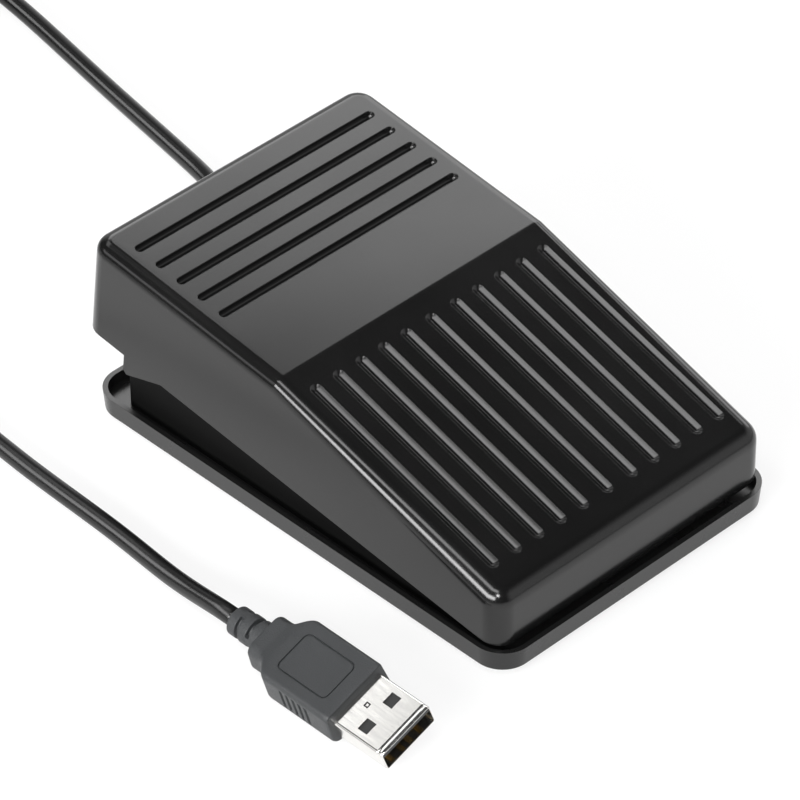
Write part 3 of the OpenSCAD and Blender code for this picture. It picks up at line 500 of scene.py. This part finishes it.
# front is the y and z of the cover's own origin, and field the near end, far end and half width of the
# grooved area from there; a ring is a distance from the groove's lip and a depth, in millimetres
coverSet = {
    "tilt": 6.6,
    "front": (-0.05127, 0.0057),
    "crease": 0.057773,
    "topHeight": 0.0211,
    "slope": 10.3,
    "field": (0.0065, 0.101, 0.0305),
    "grooveDepth": 0.0012,
    "slack": 3e-5,
    "wallLeast": 3e-4,
    "crossLeast": 0.04,
    "crossWidth": 0.002,
    "crossRings": [(0.04, 0.01), (0.08, 0.04), (0.11, 0.1), (0.14, 0.3), (0.19, 0.5), (0.28, 0.72),
                   (0.42, 0.93), (0.6, 1.08), (0.8, 1.17), (0.95, 1.2)],
    "longWidth": 0.0024,
    "longRings": [(0.03, 0.006), (0.06, 0.02), (0.1, 0.05), (0.2, 0.124), (0.35, 0.233), (0.5, 0.337),
                  (0.65, 0.437), (0.75, 0.499), (0.85, 0.557), (0.93, 0.595), (1.0, 0.622), (1.08, 0.64),
                  (1.16, 0.647)],
    "sharpDegrees": 35,
}


def makeCover(s):
    bm = mergedCopy("pedal_cover")
    turn = Matrix.Rotation(math.radians(s["tilt"]), 3, "X")
    slopeTurn = Matrix.Rotation(math.radians(s["tilt"] + s["slope"]), 3, "X")
    fall = math.radians(s["slope"])
    nearY, farY, halfX = s["field"]

    # depth under the flat top or the front slope, and -1 outside the grooved area
    def sunk(vert):
        p = turn.inverted() @ (vert.co - Vector((0, *s["front"])))
        if not (nearY < p.y < farY and abs(p.x) < halfX):
            return -1
        short = max(0, s["crease"] - p.y)
        return (s["topHeight"] - p.z - short * math.tan(fall)) * (math.cos(fall) if short else 1)

    depths = {v: sunk(v) for v in bm.verts}

    def inGroove(face):
        down = [depths[v] for v in face.verts]
        return min(down) > -s["slack"] and s["wallLeast"] < max(down) < s["grooveDepth"] + s["slack"]

    walls = [f for f in bm.faces if inGroove(f)]
    bmesh.ops.delete(bm, geom=walls, context="FACES")
    loops = edgeLoops(e for e in bm.edges if e.is_boundary)
    for loop in loops:
        xs = [v.co.x for e in loop for v in e.verts]
        cross = max(xs) - min(xs) > s["crossLeast"]
        kind, lean = ("cross", turn) if cross else ("long", slopeTurn)
        along = Vector((1, 0, 0)) if cross else lean @ Vector((0, 1, 0))
        rings = [(inset * mm, depth * mm) for inset, depth in s[kind + "Rings"]]
        sinkLoop(bm, loop, along, lean @ Vector((0, 0, 1)), s[kind + "Width"] / 2, rings)
    bmesh.ops.recalc_face_normals(bm, faces=bm.faces)
    print("grooves made", len(loops), "from", len(walls), "faces")
    cover = finishPiece("cover", bm, "pedal", s["sharpDegrees"])
    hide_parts("pedal_cover")
    dress(cover, "cover")


makeCover(coverSet)


# box is the half width, front and rear of the inner box, whose inside above the floor is matt and darkened
# further as painted shade under the cover
traySet = {
    "rimTop": 0.0052, "slack": 2e-5, "rimDegrees": 40, "rimRound": 0.0003, "segments": 3,
    "box": (0.0312, -0.0486, 0.0468), "floor": 0.00285, "sharpDegrees": 35,
}


def makeTray(s):
    bm = mergedCopy("base_tray")
    edges = [e for e in sharpEdges(bm, s["rimDegrees"])
             if all(abs(v.co.z - s["rimTop"]) < s["slack"] for v in e.verts)]
    print("rim edges", len(edges))
    roundEdges(bm, edges, s["rimRound"], s["segments"])
    boxX, boxFront, boxRear = s["box"]
    # faces of the inner box above its floor take the second material, a matt finish with painted shade
    for face in bm.faces:
        inside = (all(abs(v.co.x) < boxX and boxFront < v.co.y < boxRear for v in face.verts)
                  and max(v.co.z for v in face.verts) > s["floor"])
        face.material_index = 1 if inside else 0
    tray = finishPiece("tray", bm, "base", s["sharpDegrees"])
    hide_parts("base_tray")
    dress(tray, "tray", "trayInside")


makeTray(traySet)


# the plug, remade with softer mouldings than its solids, in millimetres in a frame of its own
plugSet = {"at": (-0.0592, -0.0439, 0.0055981), "roll": 20}
plugFrame = (Matrix.Translation(plugSet["at"]) @ Matrix.Rotation(math.radians(-plugSet["roll"]), 4, "Y")
             @ Matrix.Scale(mm, 4))


# points of a rounded rectangle, counterclockwise, with extra points along its two long flats
def roundedLoop(width, height, topR, lowR, perCorner, flatX=(), draft=0):
    loop = []
    for sx, sz, a0 in ((1, 1, 0), (-1, 1, 90), (-1, -1, 180), (1, -1, 270)):
        r, lean = (topR, draft) if sz > 0 else (lowR, 0)
        cx, cz = sx * (width / 2 - lean - r), sz * (height / 2 - r)
        for k in range(perCorner + 1):
            a = math.radians(a0 + 90 * k / perCorner)
            loop.append((cx + r * math.cos(a), cz + r * math.sin(a)))
        if a0 == 0:
            loop += [(x, height / 2) for x in sorted(flatX, reverse=True)]
        if a0 == 180:
            loop += [(x, -height / 2) for x in sorted(flatX)]
    return loop


# one ring of edges, carried from section to section; each section is a depth and its loop
def loft(bm, sections, closed=True):
    depth, loop = sections[0]
    ring = bmesh.ops.create_circle(bm, segments=len(loop), radius=1, cap_ends=closed)["verts"]
    for vert, (x, z) in zip(ring, loop):
        vert.co = (x, depth, z)
    rim = list(dict.fromkeys(e for v in ring for e in v.link_edges))
    for depth, loop in sections[1:]:
        made = bmesh.ops.extrude_edge_only(bm, edges=rim)["geom"]
        fresh = {g for g in made if isinstance(g, bmesh.types.BMVert)}
        ring = [next(e.other_vert(v) for e in v.link_edges if e.other_vert(v) in fresh) for v in ring]
        for vert, (x, z) in zip(ring, loop):
            vert.co = (x, depth, z)
        rim = [g for g in made if isinstance(g, bmesh.types.BMEdge)]
    if closed:
        bmesh.ops.contextual_create(bm, geom=rim)
    bmesh.ops.recalc_face_normals(bm, faces=bm.faces)


# borders inside a flat face, each with a width and then a lift of what it encloses
def stepInside(bm, face, line, side, material=0):
    for wide, lift in line:
        border = bmesh.ops.inset_region(bm, faces=[face], thickness=wide, use_even_offset=True)["faces"]
        for strip in border:
            strip.material_index = material
        bmesh.ops.translate(bm, verts=face.verts, vec=(0, 0, side * lift))


def smoothStep(t):
    t = min(max(t, 0), 1)
    return t * t * (3 - 2 * t)


# edgeLine rounds both ends, as shares of edge; the neck narrows over the taper and flattens a lag later
gripSet = {
    "width": 14.6, "height": 7.8, "length": 17.0, "round": 2.0, "topRound": 1.1, "draft": 0.28, "corner": 5,
    "neck": 5.5, "neckWidth": 9.8, "neckHeight": 6.6, "taper": 4.0, "taperLag": 1.0, "taperSteps": 10,
    "edge": 0.5, "edgeLine": [(0, 1), (0.3, 0.3), (1, 0)],
    "ribs": 5, "ribPitch": 1.5, "ribEdge": 0.22, "ribDepth": 0.35,
    "panelEnds": (1.5, 15.4), "panelEdge": 0.3, "panelShare": (0.76, 0.91, 1), "panelRound": 1.3,
    "panelLine": [(0.08, -0.3), (0.2, 0), (0.08, 0.24)], "panelMiddle": 1, "cornerDegrees": 60,
    "level": 0.01, "sharpDegrees": 32,
}
gripEnd = gripSet["length"] + gripSet["neck"]


def gripSections(s, ribCuts):
    panelLow, shoulder = s["panelEnds"]
    rounding = [(share * s["edge"], pinch) for share, pinch in s["edgeLine"]]
    steps = [shoulder + s["taper"] * i / s["taperSteps"] for i in range(s["taperSteps"] + 1)]
    plain = [panelLow, *ribCuts, *steps, shoulder + s["taperLag"] + s["taper"]]
    depths = rounding + [(y, 0) for y in plain] + [(gripEnd - y, pinch) for y, pinch in reversed(rounding)]
    sections = []
    for y, pinch in depths:
        narrow = smoothStep((y - shoulder) / s["taper"])
        flat = smoothStep((y - shoulder - s["taperLag"]) / s["taper"])
        inset = 2 * s["edge"] * pinch
        width = s["width"] + (s["neckWidth"] - s["width"]) * narrow - inset
        height = s["height"] + (s["neckHeight"] - s["height"]) * flat - inset
        topR = s["topRound"] + (s["round"] - s["topRound"]) * flat - inset / 2
        loop = roundedLoop(width, height, topR, s["round"] - inset / 2, s["corner"], draft=s["draft"])
        sections.append((y, loop))
    return sections


# a flat on each broad side, with a raised border round a sunk panel
def makePanel(bm, side, s):
    low, high = s["panelEnds"]

    def onFlat(face):
        middle = face.calc_center_median()
        return abs(face.normal.z - side) < s["level"] and middle.z * side > 0 and low < middle.y < high

    tops = [f for f in bm.faces if onFlat(f)]
    panel = bmesh.ops.dissolve_faces(bm, faces=tops)["region"][0]
    bmesh.ops.inset_region(bm, faces=[panel], thickness=s["panelEdge"], use_even_offset=True)
    rearEdge = Matrix.Translation((0, s["panelEdge"] - high, 0))
    bmesh.ops.scale(bm, verts=panel.verts, vec=s["panelShare"], space=rearEdge)
    corners = []
    for loop in panel.loops:
        before = loop.vert.co - loop.link_loop_prev.vert.co
        after = loop.link_loop_next.vert.co - loop.vert.co
        if before.angle(after) > math.radians(s["cornerDegrees"]):
            corners.append(loop.vert)
    bmesh.ops.bevel(bm, geom=corners, offset=s["panelRound"], offset_type="OFFSET", segments=s["corner"],
                    profile=0.5, affect="VERTICES", material=-1)
    central = [f for f in bm.faces if onFlat(f) and abs(f.calc_center_median().x) < s["panelMiddle"]]
    stepInside(bm, max(central, key=lambda f: f.calc_area()), s["panelLine"], side)


def makePlugGrip(s):
    bm = bmesh.new()
    ribStart = s["length"] / 2 - (s["ribs"] - 1) / 2 * s["ribPitch"]
    ribMiddles = [ribStart + i * s["ribPitch"] for i in range(s["ribs"])]
    ribs = [(y - s["ribPitch"] / 4, y + s["ribPitch"] / 4) for y in ribMiddles]
    loft(bm, gripSections(s, [y for rib in ribs for y in rib]))
    for side in (-1, 1):
        for low, high in ribs:
            faces = [f for f in bm.faces if abs(f.normal.x - side) < s["level"]
                     and low < f.calc_center_median().y < high]
            bmesh.ops.inset_individual(bm, faces=faces, thickness=s["ribEdge"], depth=-s["ribDepth"])
    for side in (-1, 1):
        makePanel(bm, side, s)
    bm.transform(plugFrame)
    grip = finishPiece("plugGrip", bm, "base", s["sharpDegrees"])
    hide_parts("plug_grip")
    dress(grip, "grip")
    return grip


# a bridge is the slot that it crosses and its turn round the cord; its size is deep, over and wide
reliefSet = {
    "length": 7.4, "back": 0.4, "rings": 3, "slot": 0.9, "thick": 2.95, "thin": 1.95, "ringTaper": 0.1,
    "endRadius": 1.8, "steps": 40, "round": 0.2, "segments": 3, "sharpDegrees": 40,
    "bridges": [(0, 20), (0, 200), (1, 110), (1, 290)], "bridgeSize": (0.9, 0.3, 1.5), "bridgeOut": 0.35,
}


def makePlugRelief(s):
    bm = bmesh.new()
    thick, thin, slot, rings = s["thick"], s["thin"], s["slot"], s["rings"]
    ring = (s["length"] - (rings - 1) * slot) / rings
    profile = []
    for i in range(rings):
        low = gripEnd + i * (ring + slot)
        radius = thick - s["ringTaper"] * i
        profile += [(radius, low if i else low - s["back"]), (radius, low + ring)]
        if i < rings - 1:
            profile += [(thin, low + ring), (thin, low + ring + slot)]
    profile.append((s["endRadius"], gripEnd + s["length"]))
    verts = [bm.verts.new((r, y, 0)) for r, y in profile]
    edges = [bm.edges.new(pair) for pair in zip(verts, verts[1:])]
    bmesh.ops.spin(bm, geom=verts + edges, cent=(0, 0, 0), axis=(0, 1, 0), angle=2 * math.pi,
                   steps=s["steps"], use_merge=True)
    bmesh.ops.recalc_face_normals(bm, faces=bm.faces)
    roundEdges(bm, sharpEdges(bm, s["sharpDegrees"]), s["round"], s["segments"])
    deep, over, wide = s["bridgeSize"]
    for i, turn in s["bridges"]:
        middle = gripEnd + (i + 1) * ring + (i + 0.5) * slot
        place = (Matrix.Rotation(math.radians(turn), 4, "Y")
                 @ Matrix.Translation((thin + s["bridgeOut"], middle, 0))
                 @ Matrix.Diagonal((deep, slot + over, wide, 1)))
        bmesh.ops.create_cube(bm, size=1, matrix=place)
    bm.transform(plugFrame)
    relief = finishPiece("plugRelief", bm, "base", s["sharpDegrees"])
    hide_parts("plug_relief")
    dress(relief, "grip")
    return relief


# mouth: distances from the open end and depths under the outer face, for a pressed line and the lip
shellSet = {
    "width": 12.0, "height": 4.5, "length": 11.8, "back": 0.6, "sheet": 0.3, "round": 0.6, "corner": 4,
    "windowX": 3.1, "windowWide": 2.5, "windowY": 5.66, "windowLong": 2.2,
    "mouth": [(1.4, 0), (1.2, 0), (1.05, 0.07), (0.9, 0), (0.35, 0), (0.1, 0.06), (0, 0.14), (0, 0.26),
              (0.3, 0.3)],
    "dimpleY": 2.7, "dimple": 1.0, "dimpleLine": [(0.08, -0.25), (0.14, 0), (0.04, 0.2)],
    "facing": 0.9, "topLayer": 0.1, "sharpDegrees": 30,
}


def makePlugShell(s):
    bm = bmesh.new()
    width, height, sheet, back = s["width"], s["height"], s["sheet"], s["back"]
    low, high = s["windowX"] - s["windowWide"] / 2, s["windowX"] + s["windowWide"] / 2
    near, far = s["windowY"] - s["windowLong"] / 2, s["windowY"] + s["windowLong"] / 2
    dot = s["dimple"] / 2
    flatX = [side * x for x in (dot, low, high) for side in (-1, 1)]
    outer = [-back, 0, s["dimpleY"] - dot, s["dimpleY"] + dot, near, far]
    rows = [(y, 0) for y in outer] + [(s["length"] - y, sunk) for y, sunk in s["mouth"]]
    rows += [(y, sheet) for y in (far, near, -back)]
    sections = []
    for y, sunk in rows:
        r = s["round"] - sunk
        sections.append((-y, roundedLoop(width - 2 * sunk, height - 2 * sunk, r, r, s["corner"], flatX)))
    loft(bm, sections, closed=False)

    def facesAt(facing, test):
        level = [f for f in bm.faces if abs(f.normal.z) > s["facing"]]
        return [f for f in level if f.calc_center_median().z * facing > 0 and test(f.calc_center_median())]

    for side in (-1, 1):
        for facing in (-1, 1):
            window = facesAt(facing, lambda p: low < p.x * side < high and near < -p.y < far)
            edges = list(dict.fromkeys(e for f in window for e in f.edges))
            bmesh.ops.delete(bm, geom=window, context="FACES_ONLY")
            bmesh.ops.bridge_loops(bm, edges=edges)
    marked = facesAt(1, lambda p: abs(p.x) < dot and abs(p.y + s["dimpleY"]) < dot
                     and p.z > height / 2 - s["topLayer"])
    # the dimple's border rings take the second material, dark as painted shade in the groove
    stepInside(bm, marked[0], s["dimpleLine"], 1, material=1)
    bmesh.ops.recalc_face_normals(bm, faces=bm.faces)
    bm.transform(plugFrame)
    shell = finishPiece("plugShell", bm, "base", s["sharpDegrees"])
    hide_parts("plug_shell")
    dress(shell, "shell", "shellGap")
    return shell


plugPieces = [makePlugGrip(gripSet), makePlugRelief(reliefSet), makePlugShell(shellSet)]


springSet = {
    "across": 0.02405, "along": 0.02773, "radius": 0.004, "wire": 0.0009, "turns": 8, "low": 0.00335,
    "length": 0.0195, "closeRise": 0.0014, "slack": 0.0012, "rings": 28, "sides": 12, "floor": 0.0029,
    "keep": 0.725,
}


# one close turn at each end, open turns between
def springRise(t, s):
    middle = s["length"] - 2 * s["closeRise"] - s["slack"]
    last = s["turns"] - 1
    if t < 1:
        return s["closeRise"] * t
    if t > last:
        return s["closeRise"] + middle + s["closeRise"] * (t - last)
    return s["closeRise"] + middle * (t - 1) / (last - 1)


def makeSpring(name, nodeName, side, s):
    x, y = side * s["across"], s["along"]
    line = []
    for i in range(s["turns"] * s["rings"] + 1):
        t = i / s["rings"]
        a = 2 * math.pi * t
        z = s["low"] + springRise(t, s)
        line.append(Vector((x + s["radius"] * math.cos(a), y + s["radius"] * math.sin(a), z)))
    spring = newObject(name, tubeMesh(name, line, s["wire"] / 2, s["sides"]), "base")
    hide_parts(nodeName)
    dress(spring, "spring")
    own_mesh(spring)


makeSpring("springLeft", "spring_left", -1, springSet)
makeSpring("springRight", "spring_right", 1, springSet)

wireSet = {
    "diameter": 0.00065, "pitch": 0.0025, "gap": 0.00095, "lag": 0.0012, "step": 0.0006, "sides": 12,
    "from": (0.006, 0.02167, 0.01015), "to": (0.020, 0.03678, 0.0068),
    "tints": ["wireRed", "wireWhite", "wireGreen", "wireBlack"],
}


def makeWires(s):
    fromX, fromY, fromZ = s["from"]
    toX, toY, toZ = s["to"]
    count = len(s["tints"])
    for i, tint in enumerate(s["tints"]):
        place = i - (count - 1) / 2
        startX, endX = fromX + place * s["pitch"], toX + place * s["gap"]
        leave, arrive = fromY + s["lag"] * (count - i), toY - s["lag"] * (1 + i)
        line = smoothRoute([(startX, fromY, fromZ), (startX, leave, fromZ), (endX, arrive, toZ),
                            (endX, toY, toZ)], s["step"])
        wire = newObject(tint, tubeMesh(tint, line, s["diameter"] / 2, s["sides"]), "base")
        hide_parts("lead_wires")
        dress(wire, tint)


makeWires(wireSet)
print("pieces made")


# pale floor, white to the camera and dimming with distance in reflections, with the soft shadow kept
floorSet = {
    "size": 6.0, "colour": grey(0.9), "shadowShare": 0.25, "near": 0.12, "far": 0.21, "farGlow": 0.2,
}


def makeFloor(s):
    bm = bmesh.new()
    bmesh.ops.create_grid(bm, x_segments=1, y_segments=1, size=s["size"] / 2)
    mesh = bpy.data.meshes.new("studioFloor")
    bm.to_mesh(mesh)
    bm.free()
    floor = bpy.data.objects.new("studioFloor", mesh)
    scene.collection.objects.link(floor)
    mat = bpy.data.materials.new("studioFloorPaper")
    mat.use_nodes = True
    tree = mat.node_tree
    tree.nodes.clear()
    out = tree.nodes.new("ShaderNodeOutputMaterial")
    matt = tree.nodes.new("ShaderNodeBsdfDiffuse")
    matt.inputs["Color"].default_value = s["colour"]
    glow = tree.nodes.new("ShaderNodeEmission")
    path = tree.nodes.new("ShaderNodeLightPath")
    seen = mathNode(tree, "MAXIMUM", path.outputs["Is Camera Ray"], path.outputs["Is Glossy Ray"])
    reach = tree.nodes.new("ShaderNodeVectorMath")
    reach.operation = "LENGTH"
    tree.links.new(tree.nodes.new("ShaderNodeTexCoord").outputs["Object"], reach.inputs[0])
    mirrored = spanNode(tree, reach.outputs["Value"], s["near"], s["far"], 1, s["farGlow"])
    strength = mathNode(tree, "MAXIMUM", path.outputs["Is Camera Ray"], mirrored)
    tree.links.new(strength, glow.inputs["Strength"])
    share = mathNode(tree, "MULTIPLY", seen, 1 - s["shadowShare"])
    mix = tree.nodes.new("ShaderNodeMixShader")
    tree.links.new(share, mix.inputs["Fac"])
    tree.links.new(matt.outputs[0], mix.inputs[1])
    tree.links.new(glow.outputs[0], mix.inputs[2])
    tree.links.new(mix.outputs[0], out.inputs["Surface"])
    mesh.materials.append(mat)


makeFloor(floorSet)


# panels for the glossy plastic to mirror; cord says whether a panel leaves the lead out or lights it alone
lampSet = {
    "rearPanel": {"at": (1.12, 0.89, 1.05), "size": (1.0, 1.3), "radiance": 3.45, "aim": (1.12, 0.89, 0),
                  "turn": 38.3, "cord": "EXCLUDE"},
    "shellPanel": {"at": (-0.05, 0.8, 1.05), "size": (0.6, 0.44), "radiance": 1.7, "aim": (-0.05, 0.8, 0)},
    "leftPanel": {"at": (-0.97, -0.12, 0.44), "size": (0.9, 0.3), "radiance": 16.0},
    "highPanel": {"at": (-0.47, -0.1, 0.97), "size": (0.8, 0.24), "radiance": 6.0},
    "leftRearPanel": {"at": (-0.8, 0.62, 0.44), "size": (0.4, 0.26), "radiance": 1.6},
    "rightPanel": {"at": (1.45, 0.42, 0.5), "size": (1.1, 0.46), "radiance": 1.8},
    "cordPanel": {"at": (-0.84, 0.68, 0.66), "size": (1.5, 0.5), "radiance": 5.2, "cord": "INCLUDE"},
    "cameraFill": {"at": (-1.1, -1.15, 1.35), "size": (0.45, 0.45), "radiance": 22.0},
}
lampAim = (0, 0, 0.02)


def makeLamp(name, s):
    data = bpy.data.lights.new(name, "AREA")
    data.shape = "RECTANGLE"
    data.size, data.size_y = s["size"]
    data.energy = s["radiance"] * math.pi * s["size"][0] * s["size"][1]
    lamp = bpy.data.objects.new(name, data)
    scene.collection.objects.link(lamp)
    lamp.location = s["at"]
    aim = Vector(s.get("aim", lampAim)) - Vector(s["at"])
    turn = Quaternion((0, 0, 1), math.radians(s.get("turn", 0)))
    lamp.rotation_mode = "QUATERNION"
    lamp.rotation_quaternion = aim.to_track_quat("-Z", "Y") @ turn
    lamp.visible_camera = False
    if "cord" in s:
        linked = bpy.data.collections.new(name + "Cord")
        linked.objects.link(lead)
        lamp.light_linking.receiver_collection = linked
        linked.collection_objects[0].light_linking.link_state = s["cord"]


for lampName, lampValues in lampSet.items():
    makeLamp(lampName, lampValues)


# white to the camera, a pale fill all round, and in reflections dark but for a pale wall low on the right
worldSet = {"fill": 0.4, "low": 0.75, "high": 0.03, "from": 0.45, "to": 0.72, "side": (0.0, 0.4)}


def makeWorld(s):
    world = bpy.data.worlds.new("studioWorld")
    scene.world = world
    world.use_nodes = True
    tree = world.node_tree
    back = tree.nodes["Background"]
    path = tree.nodes.new("ShaderNodeLightPath")
    split = tree.nodes.new("ShaderNodeSeparateXYZ")
    tree.links.new(tree.nodes.new("ShaderNodeTexCoord").outputs["Generated"], split.inputs[0])
    level = spanNode(tree, split.outputs["Z"], s["from"], s["to"], s["low"], 0)
    wall = mathNode(tree, "MULTIPLY", level, spanNode(tree, split.outputs["X"], *s["side"], 0, 1))
    mirrored = mathNode(tree, "ADD", wall, s["high"])
    diffuse = mathNode(tree, "MULTIPLY", path.outputs["Is Diffuse Ray"], s["fill"])
    shiny = mathNode(tree, "MULTIPLY", path.outputs["Is Glossy Ray"], mirrored)
    unseen = mathNode(tree, "ADD", diffuse, shiny)
    tree.links.new(mathNode(tree, "ADD", unseen, path.outputs["Is Camera Ray"]), back.inputs["Strength"])
    back.inputs["Color"].default_value = grey(1)


makeWorld(worldSet)
scene.view_settings.view_transform = "Standard"
print("stage and light set")
